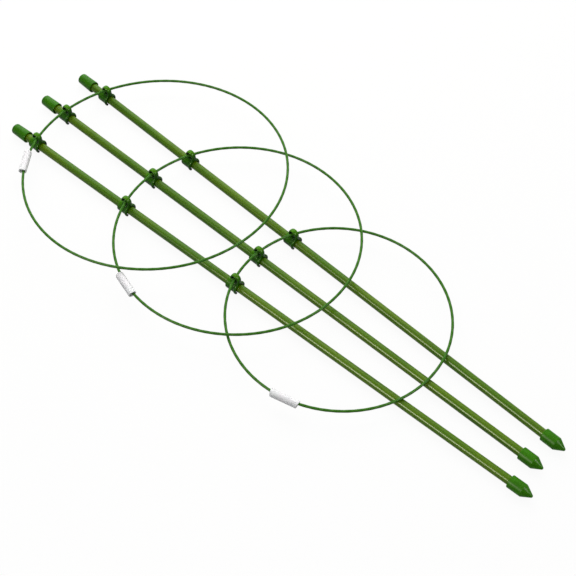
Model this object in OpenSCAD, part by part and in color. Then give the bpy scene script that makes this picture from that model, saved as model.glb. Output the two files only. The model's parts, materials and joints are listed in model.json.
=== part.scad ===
// Plant support: three coated stakes tied by three wire rings.
// The set lies flat, as packed: stakes on the ground along X with their points
// towards +X, and each ring folded down over them from its own row of clips.

/* [Stakes] */
// Length of one stake with its cap and tip on
stake_length = 600; // [450:10:900]
// Diameter over the green coat
stake_d = 8; // [6:0.5:11]
// Thickness of the green coat
coat_t = 0.5; // [0.3:0.1:1]
// Wall of the steel tube
tube_wall = 0.6; // [0.4:0.1:1]
// Distance of the outer stakes from the middle one at the cap end
cap_spread = 45; // [38:1:60]
// Distance of the outer stakes from the middle one at the tip end
tip_spread = 26; // [20:1:38]
// How far the front stake lies ahead of the middle one
front_shift = 9.5; // [-6:0.5:14]
// How far the back stake lies ahead of the middle one
back_shift = 2.5; // [-6:0.5:14]

/* [Caps] */
// Length of a cap
cap_length = 18.5; // [14:0.5:24]
// Thickness of the closed end
cap_top = 2; // [1:0.2:4]
// Wall of the cap beside the stake
cap_wall = 1.15; // [0.9:0.05:2]
// How much the radius grows from the closed end to the mouth
cap_flare = 0.55; // [0.2:0.05:1]
// Radius of the rounded edge at the closed end
cap_edge = 1.6; // [0.6:0.1:2.4]
// Depth of the widened mouth
cap_mouth_depth = 3; // [1:0.5:6]
// Thickness of the rim around the mouth
cap_rim = 0.8; // [0.5:0.05:1.2]

/* [Tips] */
// Length of the straight part of a tip
tip_barrel = 13; // [9:0.5:20]
// Length of the point
tip_point = 8.5; // [6:0.5:14]
// Wall of the tip beside the stake
tip_wall = 1.7; // [1.2:0.05:2.4]
// Depth of the socket that takes the stake
tip_socket = 10; // [6:0.5:12]
// Radius of the blunt nose
tip_nose = 1.5; // [0.8:0.1:2.2]

/* [Rings] */
// Diameter of the upper ring, on the wire's centre line
upper_ring_d = 242; // [220:1:260]
// Diameter of the centre ring
centre_ring_d = 219; // [200:1:240]
// Diameter of the lower ring
lower_ring_d = 193; // [170:1:210]
// Upper ring's clip, from the cap end of the middle stake
upper_at = 34; // [30:1:44]
// Centre ring's clip, from the cap end of the middle stake
centre_at = 154; // [140:1:170]
// Lower ring's clip, from the cap end of the middle stake
lower_at = 289; // [275:1:310]
// How far the upper ring's centre lies behind the middle stake
upper_aside = 2.2; // [-3:0.1:3]
// How far the centre ring's centre lies behind the middle stake
centre_aside = -0.9; // [-3:0.1:3]
// How far the lower ring's centre lies behind the middle stake
lower_aside = -2.7; // [-3:0.1:3]
// Diameter of the coated wire
wire_d = 2.5; // [2:0.1:3]
// Diameter of the steel wire inside
core_d = 1.7; // [1.2:0.1:2]
// Gap between the two ends of a ring's wire
wire_gap = 2; // [1:0.5:4]

/* [Sleeves] */
// Length of a sleeve
sleeve_length = 26; // [20:1:34]
// Outside diameter of a sleeve
sleeve_d = 7.3; // [6.4:0.1:9]
// Wall of a sleeve
sleeve_wall = 1.05; // [0.7:0.05:1.3]
// Place of the upper ring's sleeve, in degrees from the middle clip
upper_sleeve_at = 38; // [36:1:60]
// Place of the centre ring's sleeve
centre_sleeve_at = 74; // [72:1:100]
// Place of the lower ring's sleeve
lower_sleeve_at = 105; // [80:1:150]

/* [Clips] */
// Length of a clip along its stake, on the cap side of its hook
clip_back = 7.5; // [5.5:0.1:9]
// Wall of the clip around the stake
clip_wall = 1.7; // [1.2:0.1:2.4]
// Half angle of the snap mouth under the stake
clip_mouth = 45; // [30:1:55]
// Height of the rib that carries the hook down round the clip
rib_rise = 0.6; // [0.3:0.1:1]
// Width of the rib
rib_width = 2.4; // [1.6:0.1:3]
// Width of the hook along the wire
hook_width = 4.8; // [3.6:0.2:6]
// Thickness of the hook at its waist
hook_t = 2.2; // [1.8:0.05:3]
// Room between the wire and the waist of the hook
hook_room = 1.45; // [1.2:0.05:1.8]
// How much the hook widens from its waist to each side
hook_flare = 1.1; // [0.8:0.05:1.2]
// Thickness of the seat between the stake's clip and the hook
hook_seat = 1; // [0.8:0.1:2.5]
// Where the nose of the hook ends, in degrees from the tip side over the top
hook_nose = 195; // [180:1:205]
// Where the lower lip of the hook ends, below the nose
hook_lip = 238; // [232:1:250]

/* [Fits] */
// Radial play of a clip on its stake
clip_play = 0.3; // [0.2:0.05:0.5]
// Radial gap of a pushed-on cap or tip
push_gap = 0.05; // [0.02:0.01:0.1]
// Radial gap between steel and the coat bonded to it
bond_gap = 0.02; // [0.01:0.01:0.05]
// How far the wire hangs below the middle of its hook
wire_drop = 0.15; // [0:0.05:0.4]
// Gap under a ring that rests on the stakes
rest_gap = 0.4; // [0.3:0.1:1]
// Gap between one ring and the ring it lies over
lay_gap = 0.6; // [0.4:0.1:1.5]
// Gap between the upper ring and the sleeve it passes over
pass_gap = 1.1; // [0.6:0.1:2]
// Gap between a ring's wire and the inner side of its sleeve
sleeve_gap = 0.2; // [0.1:0.05:0.3]

/* [Hidden] */
$fn = 96;
eps = 0.1;

coat_green = [0.36, 0.48, 0.16];
cap_green = [0.24, 0.50, 0.13];
clip_green = [0.18, 0.45, 0.10];
wire_green = [0.30, 0.56, 0.25];
sleeve_white = [0.93, 0.92, 0.91];
steel_grey = [0.62, 0.63, 0.64];

// Round sizes
stake_r = stake_d/2;
wire_r = wire_d/2;
cap_end_r = stake_r + cap_wall;
cap_mouth_r = cap_end_r + cap_flare;
tip_r = stake_r + tip_wall;
axis_h = max(cap_mouth_r, tip_r);

// Lengths along a stake, from its cap end
tube_from = cap_top;
tube_to = stake_length - tip_barrel - tip_point + tip_socket;

// Clip, measured from its stake's axis and from the middle of its hook
bore_r = stake_r + clip_play;
collar_r = bore_r + clip_wall;
rib_r = collar_r + rib_rise;
waist_r = wire_r + hook_room;
hook_r = waist_r + hook_t;
eye_h = collar_r + hook_seat + waist_r;
wire_h = eye_h - wire_drop;

// Fan of the outer stakes: turn about Z, half way between its ends, and the shift
// that puts the stakes in the middle of the frame
fan = asin((cap_spread - tip_spread)/stake_length);
mid_spread = (cap_spread + tip_spread)/2;
reach = stake_length/2*cos(fan);
centre_x = -(max(stake_length/2, reach + front_shift, reach + back_shift)
             + min(-stake_length/2, front_shift - reach, back_shift - reach))/2;

// Name, side (-1 front, 1 back) and shift of each stake
STAKES = [["front", -1, front_shift], ["middle", 0, 0], ["back", 1, back_shift]];

// Rings: their radii, the shift that puts them in the middle of the frame, and the
// distance from the middle clip to where one ring crosses the next
upper_r = upper_ring_d/2;
centre_r = centre_ring_d/2;
lower_r = lower_ring_d/2;
centre_y = -(max(upper_aside + upper_r, centre_aside + centre_r, lower_aside + lower_r)
             + min(upper_aside - upper_r, centre_aside - centre_r, lower_aside - lower_r))/2;
upper_to_centre = centre_at + centre_r - upper_at - upper_r;
centre_to_lower = lower_at + lower_r - centre_at - centre_r;
function crossing(r_a, r_b, apart) = (apart*apart + r_a*r_a - r_b*r_b)/(2*apart);
cross_uc = crossing(upper_r, centre_r, upper_to_centre);
cross_cl = crossing(centre_r, lower_r, centre_to_lower);

// Slope of each ring from its clip: the lower one rests on the stakes, the
// centre one on the lower one, and the upper one passes over the centre sleeve
lower_lift = -asin((wire_h - stake_r - wire_r - rest_gap)/lower_ring_d);
centre_lift = asin(((lower_r + cross_cl - centre_to_lower)*sin(lower_lift) + wire_d + lay_gap)
                   /(centre_r + cross_cl));
upper_lift = asin(((centre_r + cross_uc - upper_to_centre)*sin(centre_lift)
                   + wire_r + sleeve_d/2 + pass_gap)/(upper_r + cross_uc));

// Name, radius, place along the middle stake, slope, sleeve angle and centre's
// offset of each ring
RINGS = [["upper", upper_r, upper_at, upper_lift, upper_sleeve_at, upper_aside],
         ["centre", centre_r, centre_at, centre_lift, centre_sleeve_at, centre_aside],
         ["lower", lower_r, lower_at, lower_lift, lower_sleeve_at, lower_aside]];

// Sleeve: its bore, and how far its axis lies outside the wire at its middle so
// that the wire clears the inner side at both ends
sleeve_bore_r = sleeve_d/2 - sleeve_wall;
function rise(r, half) = r - sqrt(r*r - half*half);
function sleeve_out(ring) = sleeve_bore_r - wire_r - sleeve_gap - rise(ring[1], sleeve_length/2);

// X of a ring's clip on the middle stake, and the ring's centre ahead of that
function clip_x(ring) = centre_x - stake_length/2 + ring[2];
function middle_of(ring) = sqrt(ring[1]*ring[1] - ring[5]*ring[5]);

// Place along an outer stake, from the stake's middle, where a ring crosses over
// it on the cap side
function ahead(ring, stake) = clip_x(ring) + middle_of(ring) - centre_x - stake[2];
function beside(ring, stake) = mid_spread - stake[1]*ring[5];
function nearer(b, c) = b - sqrt(b*b - c);
function meets(ring, stake) =
    nearer(ahead(ring, stake)*cos(fan) + beside(ring, stake)*sin(fan),
           pow(ahead(ring, stake), 2) + pow(beside(ring, stake), 2) - ring[1]*ring[1]);

// Place of a clip along its stake. On an outer stake it is set off by half of what
// the wire moves through the hook while the rings fold up
function bow(ring, stake) = rise(ring[1], beside(ring, stake) - meets(ring, stake)*sin(fan));
function clip_on(ring, stake) = stake[1] == 0 ? ring[2] - stake_length/2
    : meets(ring, stake) + (bow(RINGS[1], stake) - bow(ring, stake))/2;

// Moves to a stake's middle, with X along it towards its point
module on_stake(stake) {
    translate([centre_x + stake[2], centre_y + stake[1]*mid_spread, axis_h])
        rotate([0, 0, -stake[1]*fan])
            children();
}

// Moves to the centre of a ring, with the ring in the XY plane and its clip at -X
module on_ring(ring) {
    translate([clip_x(ring), centre_y, axis_h + wire_h])
        rotate([0, -ring[3], 0])
            translate([middle_of(ring), ring[5], 0])
                children();
}

// Turns a profile of radius against length about the stake, from its cap end
module turned() {
    translate([-stake_length/2, 0, 0])
        rotate([0, 90, 0])
            rotate_extrude()
                children();
}

module stake_tube() {
    tube_r = stake_r - coat_t - bond_gap;
    color(steel_grey)
        turned() translate([tube_r - tube_wall, tube_from]) square([tube_wall, tube_to - tube_from]);
}

module stake_coat() {
    color(coat_green)
        turned() translate([stake_r - coat_t, tube_from]) square([coat_t, tube_to - tube_from]);
}

// Cap: tapered cup with a rounded end and a widened mouth
module cap() {
    rim_edge = cap_rim/2;
    flank = [cap_end_r, cap_edge];
    color(cap_green) turned() difference() {
        union() {
            square([cap_end_r - cap_edge, cap_edge]);
            translate([cap_end_r - cap_edge, cap_edge]) intersection() {
                circle(cap_edge);
                translate([0, -cap_edge]) square(cap_edge);
            }
            polygon([[0, cap_edge], flank, [cap_mouth_r, cap_length - rim_edge],
                     [0, cap_length - rim_edge]]);
            translate([cap_mouth_r - rim_edge, cap_length - rim_edge]) circle(rim_edge);
        }
        translate([0, cap_top]) square([stake_r + push_gap, cap_length]);
        translate([0, cap_length - cap_mouth_depth]) square([cap_mouth_r - cap_rim, cap_mouth_depth + eps]);
    }
}

// Tip: straight barrel with a socket, then a cone that runs into a round nose
module tip() {
    nose_at = tip_barrel + tip_point - tip_nose;
    tangent = atan2(tip_barrel - nose_at, tip_r)
              + acos(tip_nose/norm([tip_r, nose_at - tip_barrel]));
    edge = tip_wall/3;
    color(cap_green) translate([stake_length - tip_barrel - tip_point, 0, 0]) turned() difference() {
        union() {
            polygon([[0, 0], [tip_r - edge, 0], [tip_r - edge, edge], [tip_r, edge], [tip_r, tip_barrel],
                     [tip_nose*cos(tangent), nose_at + tip_nose*sin(tangent)],
                     [0, nose_at + tip_nose*sin(tangent)]]);
            translate([tip_r - edge, edge]) circle(edge);
            intersection() {
                translate([0, nose_at]) circle(tip_nose);
                translate([0, nose_at - tip_nose]) square([tip_nose, 2*tip_nose]);
            }
        }
        translate([0, -eps]) square([stake_r + push_gap, tip_socket + eps]);
    }
}

// Open ring around the stake, cut away at the snap mouth and rounded at its lips
module snap_ring(outer_r, length) {
    lip_r = (outer_r - bore_r)/2;
    rotate([90, 0, 90]) linear_extrude(length) {
        difference() {
            circle(outer_r);
            circle(bore_r);
            polygon([[0, 0], for (a = [-clip_mouth, -clip_mouth/2, 0, clip_mouth/2, clip_mouth])
                                 2*outer_r*[sin(a), -cos(a)]]);
        }
        for (side = [-1, 1])
            rotate(side*clip_mouth) translate([0, -bore_r - lip_r]) circle(lip_r);
    }
}

// Cross section of the hook: round towards the wire, gently crowned outside
module hook_section() {
    half = hook_width/2;
    inner_r = (half*half + hook_flare*hook_flare)/(2*hook_flare);
    crown_r = 2*half;
    intersection() {
        translate([waist_r + inner_r, 0]) circle(inner_r);
        translate([hook_r - crown_r, 0]) circle(crown_r);
        translate([0, -half]) square([hook_r, hook_width]);
    }
}

// Clip: snap ring on the stake, rib at its tip side, and a hook for the wire on top
module clip() {
    nose_r = hook_t/2;
    leg_from = bore_r + clip_wall/2;
    color(clip_green) {
        translate([-clip_back, 0, 0]) snap_ring(collar_r, clip_back + hook_r);
        translate([hook_r - rib_width, 0, 0]) snap_ring(rib_r, rib_width);
        translate([0, 0, eye_h]) rotate([90, 0, 0]) {
            rotate(hook_lip) rotate_extrude(angle = hook_nose - hook_lip + 360) hook_section();
            rotate(hook_nose) translate([waist_r + nose_r, 0, 0])
                cylinder(r = nose_r, h = hook_width - 2*hook_flare, center = true);
        }
        difference() {
            translate([hook_r - rib_width, (hook_flare - hook_width)/2, leg_from])
                cube([rib_width, hook_width - hook_flare, eye_h - leg_from]);
            translate([0, 0, eye_h]) rotate([90, 0, 0])
                cylinder(r = waist_r + hook_flare, h = 2*hook_width, center = true);
        }
    }
}

// Ring of wire with its two ends facing each other inside the sleeve
module wire_ring(ring) {
    gap_angle = wire_gap/ring[1]*180/PI;
    rotate(180 + ring[4] + gap_angle/2)
        rotate_extrude(angle = 360 - gap_angle)
            translate([ring[1], 0])
                children();
}

module ring_core(ring) {
    color(steel_grey) wire_ring(ring) circle(d = core_d - 2*bond_gap);
}

module ring_coat(ring) {
    color(wire_green) wire_ring(ring) difference() {
        circle(d = wire_d);
        circle(d = core_d);
    }
}

// Straight tube that bridges the two ends of a ring's wire
module ring_sleeve(ring) {
    color(sleeve_white)
        rotate(180 + ring[4]) translate([ring[1] + sleeve_out(ring), 0, 0]) rotate([90, 0, 0]) difference() {
            cylinder(d = sleeve_d, h = sleeve_length, center = true);
            cylinder(r = sleeve_bore_r, h = sleeve_length + 2*eps, center = true);
        }
}

for (stake = STAKES) {
    on_stake(stake) stake_tube();
    on_stake(stake) stake_coat();
    on_stake(stake) cap();
    on_stake(stake) tip();
}

for (ring = RINGS, stake = STAKES) {
    on_stake(stake) translate([clip_on(ring, stake), 0, 0]) clip();
}

for (ring = RINGS) {
    on_ring(ring) ring_core(ring);
    on_ring(ring) ring_coat(ring);
    on_ring(ring) ring_sleeve(ring);
}
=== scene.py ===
import json
import math

import bmesh
import bpy
from mathutils import Matrix, Vector, noise
from mathutils.bvhtree import BVHTree


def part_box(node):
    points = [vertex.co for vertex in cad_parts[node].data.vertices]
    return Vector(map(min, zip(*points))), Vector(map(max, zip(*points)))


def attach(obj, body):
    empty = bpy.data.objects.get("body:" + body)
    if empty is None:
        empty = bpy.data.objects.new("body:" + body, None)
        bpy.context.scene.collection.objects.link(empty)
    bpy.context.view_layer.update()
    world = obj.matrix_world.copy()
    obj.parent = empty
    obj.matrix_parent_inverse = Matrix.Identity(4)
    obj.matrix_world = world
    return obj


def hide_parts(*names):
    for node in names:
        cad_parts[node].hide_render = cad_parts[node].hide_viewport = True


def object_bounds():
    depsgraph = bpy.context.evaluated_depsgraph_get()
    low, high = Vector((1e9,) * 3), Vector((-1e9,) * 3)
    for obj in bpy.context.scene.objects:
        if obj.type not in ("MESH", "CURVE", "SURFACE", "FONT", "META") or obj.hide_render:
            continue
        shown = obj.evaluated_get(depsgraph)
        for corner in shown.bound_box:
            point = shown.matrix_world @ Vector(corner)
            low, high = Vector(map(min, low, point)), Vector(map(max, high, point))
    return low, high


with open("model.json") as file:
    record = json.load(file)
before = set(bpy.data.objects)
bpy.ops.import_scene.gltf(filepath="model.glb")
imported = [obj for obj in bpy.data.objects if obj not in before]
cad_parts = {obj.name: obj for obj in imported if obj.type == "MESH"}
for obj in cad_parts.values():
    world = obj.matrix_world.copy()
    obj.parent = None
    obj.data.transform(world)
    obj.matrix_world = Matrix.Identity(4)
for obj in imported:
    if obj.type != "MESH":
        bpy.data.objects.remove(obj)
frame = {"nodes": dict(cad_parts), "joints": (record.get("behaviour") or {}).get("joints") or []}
cadLow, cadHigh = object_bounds()
mm = 0.001
sides = ("front", "middle", "back")
rings = ("upper", "centre", "lower")
print("frame loaded:", len(frame["nodes"]), "solids")

# stakes, in millimetres as are all pieces; places along a stake count from the end of its cap
stakeSize = {"length": 600, "coatMiddle": 295.25, "radius": 4.0, "coat": 0.5}


# places, read from the frame so that the pieces sit where the solids do
def jointNamed(name):
    return next(j for j in frame["joints"] if j["name"] == name)


def middleOf(node):
    low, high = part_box(node)
    return (low + high) / 2


def placed(at, along, up):
    across = up.cross(along).normalized()
    grid = Matrix((along, across, along.cross(across))).transposed().to_4x4()
    grid.translation = at
    return grid


def stakeAlong(side):
    if side == "middle":
        return Vector((1, 0, 0))
    return Vector(jointNamed(side + "_stake_slide")["axis"])


def stakeFrame(side, fromCap):
    along = stakeAlong(side)
    at = middleOf(side + "_stake_coat") + along * (fromCap - stakeSize["coatMiddle"]) * mm
    return placed(at, along, Vector((0, 0, 1)))


def clipFrame(ring, side):
    end = stakeFrame(side, 0).translation
    middle = (middleOf(f"{ring}_{side}_clip") - end).dot(stakeAlong(side)) / mm
    return stakeFrame(side, middle + (clipSize["back"] - clipSize["ahead"]) / 2)


def ringFrame(ring):
    turn = jointNamed(ring + "_sleeve_slide")
    up = Vector(turn["axis"])
    return placed(Vector(turn["pos_m"]), Vector((0, 1, 0)).cross(up), up)


# shader maths: a socket that takes + - * and / with numbers and other sockets
class Flow:
    def __init__(self, finish, socket):
        self.finish, self.socket = finish, socket

    def maths(self, operation, first, second):
        return self.finish.node("ShaderNodeMath", {"operation": operation}, {0: first, 1: second})

    def __add__(self, other):
        return self.maths("ADD", self, other)

    def __radd__(self, other):
        return self.maths("ADD", other, self)

    def __sub__(self, other):
        return self.maths("SUBTRACT", self, other)

    def __rsub__(self, other):
        return self.maths("SUBTRACT", other, self)

    def __mul__(self, other):
        return self.maths("MULTIPLY", self, other)

    def __rmul__(self, other):
        return self.maths("MULTIPLY", other, self)

    def __truediv__(self, other):
        return self.maths("DIVIDE", self, other)

    def __rtruediv__(self, other):
        return self.maths("DIVIDE", other, self)


class Finish:
    def __init__(self, holder):
        self.holder = holder
        holder.use_nodes = True
        self.tree = holder.node_tree
        self.tree.nodes.clear()

    def node(self, kind, settings=None, sockets=None, out=0):
        made = self.tree.nodes.new(kind)
        for name, value in (settings or {}).items():
            setattr(made, name, value)
        for name, value in (sockets or {}).items():
            socket = self.socketNamed(made.inputs, name)
            if isinstance(value, Flow):
                self.tree.links.new(value.socket, socket)
            else:
                socket.default_value = value
        return Flow(self, self.socketNamed(made.outputs, out)) if made.outputs else None

    def socketNamed(self, sockets, name):
        if isinstance(name, int):
            return sockets[name]
        return next(s for s in sockets if name in (s.identifier, s.name))

    def mix(self, share, first, second):
        return self.node("ShaderNodeMix", {"data_type": "RGBA"},
                         {"Factor_Float": share, "A_Color": first, "B_Color": second}, "Result_Color")

    def ease(self, value, low, high, toLow=0.0, toHigh=1.0):
        ends = {"From Min": low, "From Max": high, "To Min": toLow, "To Max": toHigh}
        return self.node("ShaderNodeMapRange", {"interpolation_type": "SMOOTHSTEP"}, {"Value": value, **ends})

    def noise(self, where, scale, detail=4.0, rough=0.55):
        return self.node("ShaderNodeTexNoise", {},
                         {"Vector": where, "Scale": scale, "Detail": detail, "Roughness": rough})

    def where(self, stretch=(1, 1, 1), turn=0.0):
        spot = self.node("ShaderNodeTexCoord", out="Object")
        return self.node("ShaderNodeMapping", {},
                         {"Vector": spot, "Rotation": (0, 0, turn), "Scale": stretch})

    def wave(self, operation, angle):
        return self.node("ShaderNodeMath", {"operation": operation}, {0: angle})

    def tubeLay(self):
        # millimetres along a tube and turns round it, as skinLoops lays them out
        lay = self.node("ShaderNodeUVMap", out="UV")
        return [self.node("ShaderNodeSeparateXYZ", {}, {"Vector": lay}, part) for part in ("X", "Y")]

    def roundTube(self, alongScale, aroundScale):
        # a spot on a tube, without a seam
        along, turns = self.tubeLay()
        angle = turns * math.tau
        side = self.wave("COSINE", angle) * aroundScale
        rise = self.wave("SINE", angle) * aroundScale
        return self.node("ShaderNodeCombineXYZ", {}, {"X": along * alongScale, "Y": side, "Z": rise})

    def bump(self, height, strength, distance):
        return self.node("ShaderNodeBump", {}, {"Height": height, "Strength": strength, "Distance": distance})

    def surface(self, sockets):
        shader = self.node("ShaderNodeBsdfPrincipled", {}, sockets)
        self.node("ShaderNodeOutputMaterial", {}, {"Surface": shader})
        return self.holder


def tint(red, green, blue):  # screen values from 0 to 255, as linear light
    def linear(v):
        v = v / 255
        return v / 12.92 if v <= 0.04045 else ((v + 0.055) / 1.055) ** 2.4
    return (linear(red), linear(green), linear(blue), 1.0)


# finishes: roughness is a range, bump a strength and a depth in metres, the last words scale the noise
stakeLook = {
    "green": tint(68, 115, 0), "olive": tint(90, 125, 3), "deep": tint(34, 74, 0), "fleck": tint(49, 56, 2),
    "roughness": (0.26, 0.32), "gloss": 0.14, "bump": (0.02, 0.00012),
    "streak": (7, 300, 300), "cloud": (9, 60, 60), "band": (420, 60, 60), "speck": (300, 700, 700),
    "grain": 900,
}


def stakeFinish(name, turn):
    look = stakeLook
    f = Finish(bpy.data.materials.new(name))
    streak = f.noise(f.where(look["streak"], turn), 1.0, 5.0, 0.6)
    cloud = f.noise(f.where(look["cloud"], turn), 1.0, 3.0)
    band = f.noise(f.where(look["band"], turn), 1.0, 2.0)  # faint rings left by drawing the coat
    speck = f.noise(f.where(look["speck"], turn), 1.0, 2.0)
    grain = f.noise(f.where(turn=turn), look["grain"], 2.0)
    colour = f.mix(f.ease(cloud, 0.35, 0.65), look["green"], look["olive"])
    colour = f.mix(f.ease(streak, 0.52, 0.74) * 0.55, colour, look["deep"])
    colour = f.mix(f.ease(speck, 0.66, 0.76) * 0.5, colour, look["fleck"])
    rough = f.ease(streak * 0.6 + band * 0.4, 0.35, 0.7, *look["roughness"])
    normal = f.bump(band * 0.3 + streak * 0.5 + grain * 0.2, *look["bump"])
    return f.surface({"Base Color": colour, "Roughness": rough, "Normal": normal,
                      "Specular IOR Level": look["gloss"]})


mouldLook = {
    # the clip's flag turns on light and shade painted from the share of sky each point sees
    "clip": {"green": tint(46, 112, 0), "pale": tint(88, 150, 10), "deep": tint(2, 24, 0),
             "roughness": (0.18, 0.34), "gloss": 0.08, "paintsSkyShade": True},
    "cap": {"green": tint(54, 122, 0), "pale": tint(80, 140, 7), "deep": tint(30, 80, 0),
            "roughness": (0.18, 0.32), "gloss": 0.09, "paintsSkyShade": False},
    "foot": {"green": tint(56, 126, 0), "pale": tint(80, 140, 7), "deep": tint(30, 80, 0),
             "roughness": (0.34, 0.42), "gloss": 0.07, "paintsSkyShade": False},
}
mouldGrain = {"cloud": 130, "fine": 1500, "flow": (120, 500, 500), "bump": (0.25, 0.00008)}


def mouldFinish(name, look):
    f = Finish(bpy.data.materials.new(name))
    where = f.where()
    cloud = f.noise(where, mouldGrain["cloud"], 4.0)
    fine = f.noise(where, mouldGrain["fine"], 3.0)
    flow = f.noise(f.where(mouldGrain["flow"]), 1.0, 4.0)  # faint lines of the plastic's flow
    edge = f.node("ShaderNodeNewGeometry", out="Pointiness")
    colour = f.mix(f.ease(cloud, 0.3, 0.7) * 0.35, look["green"], look["deep"])
    colour = f.mix(f.ease(flow, 0.5, 0.75) * 0.25, colour, look["pale"])
    # painted shade: darker where the surface curves inward, in hollows and creases
    colour = f.mix(f.ease(edge, 0.5, 0.45) * 0.85, colour, look["deep"])
    # paler on sharp outer edges: partly wear, partly painted highlight
    colour = f.mix(f.ease(edge, 0.51, 0.58) * 0.5, colour, look["pale"])
    # painted light and shade: paler where a point sees much sky from above, darker deep in the hollows
    if look["paintsSkyShade"]:
        paintedSkyLight = f.node("ShaderNodeAttribute", {"attribute_name": "paintedSkyLight"}, {}, "Fac")
        colour = f.mix(f.ease(paintedSkyLight, 0.5, 0.95) * 0.6, colour, look["pale"])
        colour = f.mix(f.ease(paintedSkyLight, 0.55, 0.12), colour, look["deep"])
    rough = f.ease(cloud * 0.5 + fine * 0.5, 0.35, 0.65, *look["roughness"])
    normal = f.bump(fine * 0.6 + flow * 0.4, *mouldGrain["bump"])
    return f.surface({"Base Color": colour, "Roughness": rough, "Normal": normal,
                      "Specular IOR Level": look["gloss"]})


wireLook = {
    "green": tint(60, 120, 27), "pale": tint(86, 138, 50), "deep": tint(28, 76, 8),
    "roughness": (0.3, 0.45), "gloss": 0.08, "bump": (0.4, 0.00008), "cloud": 90, "fine": 1600,
}


def wireFinish(name):
    look = wireLook
    f = Finish(bpy.data.materials.new(name))
    along, turns = f.tubeLay()
    # pale on the ridges and deep in the two flats that wind along the wire: painted highlight and painted
    # shade of the twist
    twist = f.wave("COSINE", (along / ringSize["twist"] - turns * 2.0) * math.tau)
    cloud = f.noise(f.where(), look["cloud"], 4.0)
    fine = f.noise(f.where(), look["fine"], 2.0)
    colour = f.mix(f.ease(twist + cloud * 1.6, 0.4, 2.0) * 0.35, look["green"], look["pale"])
    colour = f.mix(f.ease(twist - cloud, -1.7, -0.6, 0.22, 0.0), colour, look["deep"])
    rough = f.ease(cloud, 0.3, 0.7, *look["roughness"])
    normal = f.bump(twist * 0.35 + fine * 0.3, *look["bump"])
    return f.surface({"Base Color": colour, "Roughness": rough, "Normal": normal,
                      "Specular IOR Level": look["gloss"]})


# clear and deep: how much light goes into the plastic, and how far in metres
sleeveLook = {
    "milk": tint(250, 252, 255), "rose": tint(252, 250, 255), "shade": tint(243, 243, 248),
    "roughness": (0.45, 0.6), "gloss": 0.1, "bump": (0.2, 0.0001), "clear": 0.1, "deep": 0.004,
    "lines": (0.05, 4.0), "cloud": (0.12, 0.5), "speck": (1.2, 4.0),
}


def sleeveFinish(name):
    look = sleeveLook
    f = Finish(bpy.data.materials.new(name))
    lines = f.noise(f.roundTube(*look["lines"]), 1.0, 3.0)  # drawn lines along the tube
    cloud = f.noise(f.roundTube(*look["cloud"]), 1.0, 3.0)
    speck = f.noise(f.roundTube(*look["speck"]), 1.0, 2.0)
    colour = f.mix(f.ease(cloud, 0.35, 0.65), look["milk"], look["rose"])
    colour = f.mix(f.ease(lines, 0.6, 0.8) * 0.4, colour, look["shade"])
    colour = f.mix(f.ease(speck, 0.7, 0.78) * 0.35, colour, look["shade"])
    rough = f.ease(cloud, 0.3, 0.7, *look["roughness"])
    normal = f.bump(lines * 0.6 + speck * 0.2, *look["bump"])
    return f.surface({"Base Color": colour, "Roughness": rough, "Normal": normal,
                      "Specular IOR Level": look["gloss"], "Subsurface Weight": look["clear"],
                      "Subsurface Radius": (1, 1, 1), "Subsurface Scale": look["deep"]})


steelLook = {
    "steel": tint(168, 170, 172), "dull": tint(118, 118, 116), "roughness": (0.28, 0.5),
    "drawn": (20, 900, 900), "bump": (0.2, 0.00005),
}


def steelFinish(name):
    look = steelLook
    f = Finish(bpy.data.materials.new(name))
    drawn = f.noise(f.where(look["drawn"]), 1.0, 4.0)
    colour = f.mix(f.ease(drawn, 0.35, 0.7), look["steel"], look["dull"])
    rough = f.ease(drawn, 0.3, 0.7, *look["roughness"])
    return f.surface({"Base Color": colour, "Roughness": rough, "Metallic": 1.0,
                      "Normal": f.bump(drawn, *look["bump"])})


# mesh helpers: every piece is drawn in millimetres and scaled once
def shadeSmooth(mesh):
    for face in mesh.polygons:
        face.use_smooth = True
    return mesh


def meshFrom(bm, name):
    bmesh.ops.recalc_face_normals(bm, faces=bm.faces)
    mesh = bpy.data.meshes.new(name)
    bm.to_mesh(mesh)
    bm.free()
    return shadeSmooth(mesh)


def toMetres(mesh):
    mesh.transform(Matrix.Scale(mm, 4))
    return mesh


def addPiece(name, shape, grid, finish, body, stands):
    mesh = shape.copy()
    mesh.name = name
    mesh.transform(grid)
    mesh.materials.append(finish)
    piece = bpy.data.objects.new(name, mesh)
    bpy.context.scene.collection.objects.link(piece)
    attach(piece, body)
    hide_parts(stands)


def softCorners(path, steps=6):
    # path of (x, y, radius): each corner with a radius becomes an arc
    made = []
    for i, (x, y, radius) in enumerate(path):
        here = Vector((x, y))
        if not radius or i in (0, len(path) - 1):
            made.append(here)
            continue
        before = (Vector(path[i - 1][:2]) - here).normalized()
        after = (Vector(path[i + 1][:2]) - here).normalized()
        half = before.angle(after) / 2
        reach = radius / math.tan(half)
        centre = here + (before + after).normalized() * radius / math.sin(half)
        start, end = here + before * reach - centre, here + after * reach - centre
        turn = start.angle_signed(end)
        for k in range(steps + 1):
            spin = Matrix.Rotation(-turn * k / steps, 2)
            made.append(centre + spin @ start)
    return made


def turnedMesh(name, path, count=72):
    # closed shape turned about x, from (x, radius) points that start and end on the axis
    bm = bmesh.new()
    loops = []
    for x, radius in path:
        if radius == 0:
            loops.append([bm.verts.new((x, 0, 0))])
        else:
            loops.append([bm.verts.new((x, radius * math.cos(a), radius * math.sin(a)))
                          for a in (math.tau * k / count for k in range(count))])
    for one, two in zip(loops, loops[1:]):
        for k in range(count):
            n = (k + 1) % count
            corners = [one[k % len(one)], one[n % len(one)], two[n % len(two)], two[k % len(two)]]
            bm.faces.new([c for i, c in enumerate(corners) if c not in corners[:i]])
    return toMetres(meshFrom(bm, name))


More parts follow.
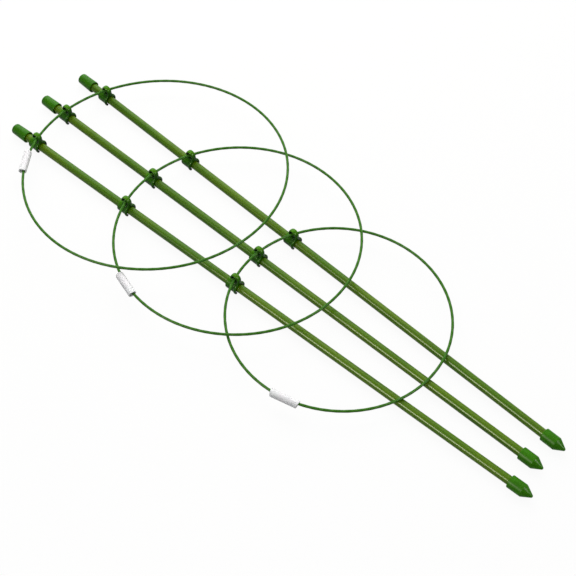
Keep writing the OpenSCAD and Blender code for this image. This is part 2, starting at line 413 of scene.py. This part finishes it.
def skinLoops(bm, loops, along, closed=False):
    # four-sided faces between loops of points, laid out by distance along and turns round
    lay = bm.loops.layers.uv.verify()
    count = len(loops[0])
    last = len(loops) - 1
    pairs = [(i, i + 1) for i in range(last)] + ([(last, 0)] if closed else [])
    for i, j in pairs:
        for k in range(count):
            n = (k + 1) % count
            face = bm.faces.new((loops[i][k], loops[i][n], loops[j][n], loops[j][k]))
            spots = ((along[i], k), (along[i], k + 1), (along[j], k + 1), (along[j], k))
            for corner, (u, turn) in zip(face.loops, spots):
                corner[lay].uv = (u, turn / count)


def sweptSolid(bm, section, place, steps, length=1.0):
    # closed section carried through place(share, point), with flat ends
    loops = [[bm.verts.new(place(s / steps, p)) for p in section] for s in range(steps + 1)]
    skinLoops(bm, loops, [length * s / steps for s in range(steps + 1)])
    bm.faces.new(loops[0][::-1])
    bm.faces.new(loops[-1])


def oval(halfWide, halfHigh, count, square=1.0):
    # with square below 1 the oval is fuller at its corners, above 1 slimmer
    made = []
    for k in range(count):
        c, s = math.cos(math.tau * k / count), math.sin(math.tau * k / count)
        made.append((halfWide * math.copysign(abs(c) ** square, c),
                     halfHigh * math.copysign(abs(s) ** square, s)))
    return made


def addBead(bm, at, reach):
    made = bmesh.ops.create_icosphere(bm, subdivisions=3, radius=1)
    grid = Matrix.Translation(at) @ Matrix.Diagonal((*reach, 1))
    bmesh.ops.transform(bm, verts=made["verts"], matrix=grid)


# rings, here because the shade painted into the clips' hollows counts the wire; sleeveAt in degrees round the
# ring
ringSize = {
    "diameter": {"upper": 242, "centre": 219, "lower": 193},
    "sleeveAt": {"upper": 38, "centre": 74, "lower": 105},
    "wire": 1.25, "gap": 2.0, "twist": 9.0, "relief": 0.06, "steps": 1200, "count": 18,
}

# clips: snap collar, rib and hook, merged into one moulding; mouth, nose and lip in degrees
clipSize = {
    "back": 7.5, "ahead": 4.9, "bore": 4.3, "collar": 6.0, "mouth": 45, "edge": 0.75,
    "rib": 6.6, "ribWide": 2.6, "ribEdge": 1.0,
    "eyeHigh": 9.7, "waist": 2.86, "hook": 4.9, "hookWide": 4.8, "nose": 196, "lip": 240,
    "bead": (1.25, 1.95, 1.25),
    "leg": 1.8, "legWide": (3.6, 2.2), "legFrom": 0.8, "legHigh": 4.4, "legTaper": 0.6,
    "square": {"outside": 0.85, "wireSide": 1.25, "leg": 0.7},
    "steps": {"collar": 72, "lip": 12, "hook": 84, "leg": 10}, "points": {"lip": 20, "hook": 32, "leg": 28},
    "voxel": 0.24, "smooth": (0.5, 5), "keep": 0.4,
}
skyView = {"rays": 64, "reach": 9.0, "lift": 0.06, "least": 0.02, "horizon": 0.2, "stub": 60, "count": 24}


def markPaintedSkyLight(mesh):
    # share of the sky that each point of a clip sees, past the clip itself, its stake and the wire, with the
    # sky above counting most; it is painted into the clip's colour as light and shade
    v = skyView
    bm = bmesh.new()
    bm.from_mesh(mesh)
    stubs = ((stakeSize["radius"], "Y", 0.0), (ringSize["wire"], "X", clipSize["eyeHigh"]))
    for radius, axis, rise in stubs:
        grid = Matrix.Translation((0, 0, rise)) @ Matrix.Rotation(math.pi / 2, 4, axis)
        bmesh.ops.create_cone(bm, segments=v["count"], radius1=radius, radius2=radius, depth=v["stub"],
                              matrix=grid)
    tree = BVHTree.FromBMesh(bm)
    bm.free()
    rays = []
    for k in range(v["rays"]):
        z = 1 - (2 * k + 1) / v["rays"]
        a = math.pi * (3 - math.sqrt(5)) * k  # the golden angle spreads the rays evenly
        rays.append(Vector((math.sqrt(1 - z * z) * math.cos(a), math.sqrt(1 - z * z) * math.sin(a), z)))
    # painted light: sky higher up counts more, so faces turned upward come out paler
    sky = [max(ray.z + v["horizon"], 0.0) for ray in rays]
    whole = sum(light * max(ray.z, 0.0) for light, ray in zip(sky, rays))
    marks = mesh.attributes.new("paintedSkyLight", "FLOAT", "POINT")
    for vertex, mark in zip(mesh.vertices, marks.data):
        start = vertex.co + vertex.normal * v["lift"]
        seen = 0.0
        for light, ray in zip(sky, rays):
            share = ray.dot(vertex.normal) * light
            if share > v["least"] and tree.ray_cast(start, ray, v["reach"])[0] is None:
                seen += share
        mark.value = seen / whole


def mergedMesh(rough, name):
    # one skin round overlapping solids
    holder = bpy.data.objects.new(name + "Rough", rough)
    bpy.context.scene.collection.objects.link(holder)
    merge = holder.modifiers.new("merge", "REMESH")
    merge.mode, merge.voxel_size = "VOXEL", clipSize["voxel"]
    even = holder.modifiers.new("even", "SMOOTH")
    even.factor, even.iterations = clipSize["smooth"]
    thin = holder.modifiers.new("thin", "DECIMATE")
    thin.ratio = clipSize["keep"]
    mesh = bpy.data.meshes.new_from_object(holder.evaluated_get(bpy.context.evaluated_depsgraph_get()))
    mesh.name = name
    bpy.data.objects.remove(holder)
    return shadeSmooth(mesh)


def clipMesh():
    c = clipSize
    steps, points, square = c["steps"], c["points"], c["square"]
    bm = bmesh.new()
    span = 360 - 2 * c["mouth"]

    def roundStake(share, point):
        a = math.radians(c["mouth"] - 90 + span * share)
        return (point[0], point[1] * math.cos(a), point[1] * math.sin(a))

    def collarBox(xFrom, xTo, outer, edge, parts=4):
        # section with rounded corners, along the stake and out from it
        middle, half = (xFrom + xTo) / 2, (xTo - xFrom) / 2
        rMiddle, rHalf = (c["bore"] + outer) / 2, (outer - c["bore"]) / 2
        corners = [(-half, -rHalf), (half, -rHalf), (half, rHalf), (-half, rHalf)]
        made = []
        for i, (x, r) in enumerate(corners):
            for k in range(parts + 1):
                a = math.radians(180 + 90 * i + 90 * k / parts)
                made.append((middle + x - math.copysign(edge, x) + edge * math.cos(a),
                             rMiddle + r - math.copysign(edge, r) + edge * math.sin(a)))
        return made

    collar = collarBox(-c["back"], c["ahead"], c["collar"], c["edge"])
    rib = collarBox(c["ahead"] - c["ribWide"], c["ahead"], c["rib"], c["ribEdge"])
    for section in (collar, rib):
        sweptSolid(bm, section, roundStake, steps["collar"])

    lip = (c["collar"] - c["bore"]) / 2
    for sign in (-1, 1):  # rounded lips of the snap mouth
        a = math.radians(-90 + sign * c["mouth"])
        at = Vector((0, math.cos(a), math.sin(a))) * (c["bore"] + lip)

        def alongLip(share, point):
            x = -c["back"] + lip / 2 + (c["back"] + c["ahead"] - lip) * share
            return (x, at.y + point[0], at.z + point[1])

        sweptSolid(bm, oval(lip, lip, points["lip"]), alongLip, steps["lip"])

    mid, thick = (c["waist"] + c["hook"]) / 2, (c["hook"] - c["waist"]) / 2
    hookSpan = 360 + c["nose"] - c["lip"]

    def roundWire(share, point):
        a = math.radians(c["lip"] + hookSpan * share)
        r = mid + point[0]
        return (r * math.cos(a), point[1], c["eyeHigh"] + r * math.sin(a))

    # rounder towards the wire, which runs through at a slant
    full = oval(thick, c["hookWide"] / 2, points["hook"], square["outside"])
    slim = oval(thick, c["hookWide"] / 2, points["hook"], square["wireSide"])
    sweptSolid(bm, [a if a[0] > 0 else b for a, b in zip(full, slim)], roundWire, steps["hook"])
    nose = math.radians(c["nose"])
    addBead(bm, Vector((mid * math.cos(nose), 0, c["eyeHigh"] + mid * math.sin(nose))), c["bead"])

    def upLeg(share, point):
        low, high = c["legWide"]
        wide = low + (high - low) * share ** c["legTaper"]
        rise = c["bore"] + c["legFrom"] + c["legHigh"] * share
        return (c["ahead"] - c["leg"] / 2 + point[0], point[1] * wide, rise)

    sweptSolid(bm, oval(c["leg"] / 2, 1.0, points["leg"], square["leg"]), upLeg, steps["leg"])
    mesh = mergedMesh(meshFrom(bm, "clipRough"), "clip")
    markPaintedSkyLight(mesh)
    return toMetres(mesh)


clipFinish = mouldFinish("clipGreen", mouldLook["clip"])
clipShape = clipMesh()
for ring in rings:
    for side in sides:
        solid = f"{ring}_{side}_clip"
        body = ring + "_clip" if side == "middle" else solid
        addPiece(f"clip_{ring}_{side}", clipShape, clipFrame(ring, side), clipFinish, body,
                 solid)
print("clips:", len(clipShape.polygons), "faces each")

# caps and feet, turned about their stakes; soft holds the radii of the small corners
capSize = {
    "length": 18.5, "end": 5.15, "mouth": 5.7, "edge": 1.5,
    "rim": 0.8, "mouthDeep": 3.0, "bore": 4.05, "top": 2.0,
    "gate": 1.3, "gateDeep": 0.3, "gateSlope": 0.35,  # dimple where the plastic went in
    "soft": {"gateFloor": 0.2, "gateRim": 0.25, "rimOut": 0.38, "rimIn": 0.36,
             "seat": 0.3, "bore": 0.2, "top": 0.3},
}
tipSize = {
    "length": 21.5, "barrel": 13.0, "point": 8.49, "radius": 5.7, "bore": 4.05, "socket": 10.0,
    "nose": 1.5, "noseSteps": 8, "edge": 0.55, "shoulder": 0.9, "soft": {"mouth": 0.3, "socket": 0.2},
}


def capMesh():
    c = capSize
    soft = c["soft"]
    inner, seat = c["mouth"] - c["rim"], c["length"] - c["mouthDeep"]
    path = [
        (c["gateDeep"], 0, 0), (c["gateDeep"], c["gate"], soft["gateFloor"]),
        (0, c["gate"] + c["gateSlope"], soft["gateRim"]), (0, c["end"], c["edge"]),
        (c["length"], c["mouth"], soft["rimOut"]), (c["length"], inner, soft["rimIn"]),
        (seat, inner, soft["seat"]), (seat, c["bore"], soft["bore"]),
        (c["top"], c["bore"], soft["top"]), (c["top"], 0, 0),
    ]
    return turnedMesh("cap", softCorners(path))


def tipMesh():
    t = tipSize
    noseAt = t["barrel"] + t["point"] - t["nose"]
    reach = math.hypot(t["radius"], noseAt - t["barrel"])
    # the round nose ends where the cone touches it
    last = math.atan2(t["radius"], t["barrel"] - noseAt) - math.acos(t["nose"] / reach)
    turns = [last * k / t["noseSteps"] for k in range(t["noseSteps"] + 1)]
    path = [(noseAt + t["nose"] * math.cos(a), t["nose"] * math.sin(a), 0) for a in turns]
    path += [(t["barrel"], t["radius"], t["shoulder"]), (0, t["radius"], t["edge"]),
             (0, t["bore"], t["soft"]["mouth"]), (t["socket"], t["bore"], t["soft"]["socket"]),
             (t["socket"], 0, 0)]
    return turnedMesh("tip", softCorners(path))


capFinish = mouldFinish("capGreen", mouldLook["cap"])
footFinish = mouldFinish("footGreen", mouldLook["foot"])
capShape, tipShape = capMesh(), tipMesh()
for side in sides:
    body = side + "_stake"
    footFrame = stakeFrame(side, stakeSize["length"] - tipSize["length"])
    addPiece("cap_" + side, capShape, stakeFrame(side, 0), capFinish, body, side + "_cap")
    addPiece("foot_" + side, tipShape, footFrame, footFinish, body, side + "_tip")
print("caps and feet done")


# wire of the rings, with a slight twist drawn into its coat
def wireMesh(ring):
    r = ringSize
    radius = r["diameter"][ring] / 2
    gap = r["gap"] / radius
    length = radius * (math.tau - gap)
    bm = bmesh.new()

    def roundRing(share, point):
        a = math.pi + math.radians(r["sleeveAt"][ring]) + gap / 2 + (math.tau - gap) * share
        wave = 1 - r["relief"] * math.sin(point - math.pi * length * share / r["twist"]) ** 2
        out = radius + r["wire"] * wave * math.cos(point)
        return (out * math.cos(a), out * math.sin(a), r["wire"] * wave * math.sin(point))

    sweptSolid(bm, [math.tau * k / r["count"] for k in range(r["count"])], roundRing, r["steps"], length)
    return toMetres(meshFrom(bm, "wire_" + ring))


wireGreen = wireFinish("wireGreen")
for ring in rings:
    addPiece("wire_" + ring, wireMesh(ring), ringFrame(ring), wireGreen, ring + "_ring",
             ring + "_ring_coat")
print("rings done")

# sleeves: cut lengths of soft tube, a little out of round; seat is the solid's bore, which rests on the wire
sleeveSize = {
    "length": 26.0, "outer": 3.64, "wall": 1.02, "seat": 2.6, "gap": 0.2, "edge": 0.22,
    "steps": 40, "count": 48,
    "dent": 0.1, "dentTwist": 1.3, "pinchRound": 1.7, "pinchAlong": 2.2, "pinchSharp": (6, 4),
    "slant": 1.5, "slantTurn": 0.25, "slantSharp": 8, "seed": (0.6, 2.1), "layStep": 40,
}


def sleeveMesh(ring, seed):
    s = sleeveSize
    bm = bmesh.new()
    half, bore, outer = s["length"] / 2, s["outer"] - s["wall"], s["outer"]
    inset = s["edge"] / half
    shares = [-1 + 2 * k / s["steps"] for k in range(1, s["steps"])]
    # outline from end to end outside and back inside, as (share of half the length, radius)
    outline = [(-1, bore + s["edge"]), (-1, outer - s["edge"]), (-1 + inset, outer)]
    outline += [(share, outer) for share in shares]
    outline += [(1 - inset, outer), (1, outer - s["edge"]), (1, bore + s["edge"]), (1 - inset, bore)]
    outline += [(-share, bore) for share in shares]
    outline += [(-1 + inset, bore)]

    def dentAt(share, a):
        squash = (1 - math.sin(2 * a + seed + share * s["dentTwist"])) / 2
        sharpRound, sharpAlong = s["pinchSharp"]
        pinch = max(0.0, math.cos(a - seed * s["pinchRound"])) ** sharpRound
        pinch *= max(0.0, math.cos(share * s["pinchAlong"] - seed)) ** sharpAlong
        return s["dent"] * (squash + pinch)

    def cutAt(share, a):  # ends snipped at a slant, longer on top
        low = (1 - math.sin(a + s["slantTurn"] * math.sin(seed))) / 2
        return s["slant"] * low * abs(share) ** s["slantSharp"]

    loops = []
    for share, radius in outline:
        loop = []
        for k in range(s["count"]):
            a = math.tau * k / s["count"]
            r = radius - dentAt(share, a)
            loop.append(bm.verts.new((r * math.cos(a), share * (half - cutAt(share, a)), r * math.sin(a))))
        loops.append(loop)
    skinLoops(bm, loops, [share * half + seed * s["layStep"] for share, radius in outline], closed=True)
    return toMetres(meshFrom(bm, "sleeve_" + ring))


def sleeveFrame(ring):
    s = sleeveSize
    radius = ringSize["diameter"][ring] / 2
    sag = radius - math.sqrt(radius ** 2 - (s["length"] / 2) ** 2)
    out = radius + s["seat"] - ringSize["wire"] - s["gap"] - sag
    turn = Matrix.Rotation(math.pi + math.radians(ringSize["sleeveAt"][ring]), 4, "Z")
    return ringFrame(ring) @ turn @ Matrix.Translation((out * mm, 0, 0))


sleeveWhite = sleeveFinish("sleeveWhite")
firstSeed, seedStep = sleeveSize["seed"]
for i, ring in enumerate(rings):
    addPiece("sleeve_" + ring, sleeveMesh(ring, i * seedStep + firstSeed), sleeveFrame(ring), sleeveWhite,
             ring + "_sleeve", ring + "_ring_sleeve")
print("sleeves done")

# coats of the stakes: long tubes, fine enough along their length to carry slight unevenness
coatSize = {"steps": 240, "count": 56, "uneven": 0.03, "waveAlong": 0.035, "waveRound": 0.9, "seedStep": 7.3}


def coatMesh(seed):
    c = coatSize
    low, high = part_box("middle_stake_coat")
    half = (high.x - low.x) / 2 / mm
    bore = stakeSize["radius"] - stakeSize["coat"]
    bm = bmesh.new()
    loops, along = [], []
    for inside in (False, True):
        for s in range(c["steps"] + 1):
            share = s / c["steps"] * 2 - 1
            x = half * (-share if inside else share)
            loop = []
            for k in range(c["count"]):
                a = math.tau * k / c["count"]
                spot = (x * c["waveAlong"] + seed, math.cos(a) * c["waveRound"], math.sin(a) * c["waveRound"])
                dip = 1 + noise.noise(spot)
                radius = bore if inside else stakeSize["radius"] - c["uneven"] * dip
                loop.append(bm.verts.new((x, radius * math.cos(a), radius * math.sin(a))))
            loops.append(loop)
            along.append(x)
    skinLoops(bm, loops, along, closed=True)
    return toMetres(meshFrom(bm, "coat"))


for i, side in enumerate(sides):
    turn = math.atan2(stakeAlong(side).y, stakeAlong(side).x)
    addPiece("coat_" + side, coatMesh(i * coatSize["seedStep"]), stakeFrame(side, stakeSize["coatMiddle"]),
             stakeFinish("stakeGreen_" + side, -turn), side + "_stake", side + "_stake_coat")
print("coats done")

# steel inside the coats stays as it is and gets its finish
steelGrey = steelFinish("steelGrey")
for node in [side + "_stake_tube" for side in sides] + [ring + "_ring_core" for ring in rings]:
    steel = frame["nodes"][node].data
    steel.materials.clear()
    steel.materials.append(steelGrey)
print("steel done")

# floor, light and camera, in metres
floorSize = {"reach": 6.0, "wall": 2.6, "drop": 0.0002, "count": 96, "curveSteps": 10}
floorLook = {"floor": tint(250, 250, 249), "bounce": tint(165, 165, 164), "white": 0.93}
dome = {"towards": (-0.5, 0.53, 0.68), "fade": (0.1, 0.95), "dim": 0.1, "bright": 0.95}
lamps = {
    "key": {"at": (-0.75, 0.62, 0.85), "aim": (0, 0, 0), "size": (1.4, 1.4), "watts": 13.4,
            "tone": (1.0, 0.98, 0.92), "glossOnly": False},
    "strip": {"at": (-0.29, -1.33, 0.89), "aim": (0.15, 0, 0), "size": (0.66, 0.36), "watts": 50.0,
              "tone": (0.97, 1.0, 0.7), "glossOnly": True},  # draws the pale line along the stakes
    "glint": {"at": (1.08, 0.36, 0.98), "aim": (0.3, 0, 0), "size": (0.3, 0.3), "watts": 24.0,
              "tone": (1.0, 1.0, 0.85), "glossOnly": True},  # on the cones of the feet
    "fill": {"at": (0.5, -1.0, 1.2), "aim": (0, 0, 0), "size": (1.0, 1.0), "watts": 5.0,
             "tone": (1.0, 1.0, 1.0), "glossOnly": False},
}


def shownShare(f):
    # rays that see the background itself: from the camera, or mirrored and refracted
    direct = f.node("ShaderNodeLightPath", out="Is Camera Ray")
    mirrored = f.node("ShaderNodeLightPath", out="Is Glossy Ray")
    through = f.node("ShaderNodeLightPath", out="Is Transmission Ray")
    total = direct + mirrored + through
    return f.node("ShaderNodeMath", {"operation": "MINIMUM"}, {0: total, 1: 1.0})


def floorFinish():
    f = Finish(bpy.data.materials.new("floorWhite"))
    shown = shownShare(f)
    colour = f.mix(shown, floorLook["bounce"], floorLook["floor"])
    matte = f.node("ShaderNodeBsdfPrincipled", {},
                   {"Base Color": colour, "Roughness": 1.0, "Specular IOR Level": 0.0})
    glow = f.node("ShaderNodeEmission", {}, {"Color": (1, 1, 1, 1), "Strength": 1.0})
    both = f.node("ShaderNodeMixShader", {}, {0: shown * floorLook["white"], 1: matte, 2: glow})
    f.node("ShaderNodeOutputMaterial", {}, {"Surface": both})
    return f.holder


def addFloor():
    # round floor that curves up into a low wall
    bm = bmesh.new()
    reach, wall, count, steps = (floorSize[k] for k in ("reach", "wall", "count", "curveSteps"))
    bend = wall / 2
    curve = [math.pi / 2 * k / steps for k in range(steps + 1)]
    profile = [(reach - bend + bend * math.sin(a), bend - bend * math.cos(a)) for a in curve]
    profile += [(reach, wall)]
    loops = [[bm.verts.new((r * math.cos(math.tau * k / count), r * math.sin(math.tau * k / count), z))
              for k in range(count)] for r, z in profile]
    bm.faces.new(loops[0])
    skinLoops(bm, loops, [z for r, z in profile])
    mesh = meshFrom(bm, "floor")
    mesh.materials.append(floorFinish())
    floor = bpy.data.objects.new("floor", mesh)
    floor.location.z = cadLow.z - floorSize["drop"]
    bpy.context.scene.collection.objects.link(floor)


def addWorld():
    world = bpy.data.worlds.new("studio")
    bpy.context.scene.world = world
    f = Finish(world)
    way = f.node("ShaderNodeTexCoord", out="Generated")
    facing = f.node("ShaderNodeVectorMath", {"operation": "DOT_PRODUCT"},
                    {0: way, 1: dome["towards"]}, "Value")
    dim, bright = ((dome[k],) * 3 + (1,) for k in ("dim", "bright"))
    shade = f.mix(f.ease(facing, *dome["fade"]), dim, bright)
    light = f.node("ShaderNodeBackground", {}, {"Color": shade, "Strength": 1.0})
    f.node("ShaderNodeOutputWorld", {}, {"Surface": light})


def addLamp(name, setup):
    lamp = bpy.data.lights.new(name, "AREA")
    lamp.shape = "RECTANGLE"
    lamp.size, lamp.size_y = setup["size"]
    lamp.energy, lamp.color = setup["watts"], setup["tone"]
    made = bpy.data.objects.new(name, lamp)
    made.visible_diffuse = not setup["glossOnly"]  # a lamp for gloss alone only draws highlights
    made.location = setup["at"]
    made.rotation_mode = "QUATERNION"
    made.rotation_quaternion = (Vector(setup["aim"]) - Vector(setup["at"])).to_track_quat("-Z", "Y")
    bpy.context.scene.collection.objects.link(made)


# the photo's camera: focal length in its pixels, angles in degrees
shot = {
    "focal": 1386.2, "pixels": 576, "sensor": 36, "elevation": 51.36, "azimuth": 42.39, "roll": 1.2,
    "distance": 1.2094, "aim": (0.02236, -0.00548, 0.0), "clip": (0.05, 50),
}


def addCamera():
    az, el, roll = (math.radians(shot[k]) for k in ("azimuth", "elevation", "roll"))
    look = Vector((-math.sin(az) * math.cos(el), math.cos(az) * math.cos(el), -math.sin(el)))
    level = Vector((math.cos(az), math.sin(az), 0))
    lift = level.cross(look)
    right = level * math.cos(roll) + lift * math.sin(roll)
    grid = Matrix((right, (-look).cross(right), -look)).transposed().to_4x4()
    grid.translation = Vector(shot["aim"]) - look * shot["distance"]
    lens = bpy.data.cameras.new("camera")
    lens.sensor_width, lens.lens = shot["sensor"], shot["sensor"] * shot["focal"] / shot["pixels"]
    lens.clip_start, lens.clip_end = shot["clip"]
    camera = bpy.data.objects.new("camera", lens)
    camera.matrix_world = grid
    bpy.context.scene.collection.objects.link(camera)
    bpy.context.scene.camera = camera


addFloor()
addWorld()
for name, setup in lamps.items():
    addLamp(name, setup)
addCamera()
bpy.context.scene.view_settings.view_transform = "Standard"
print("studio done")
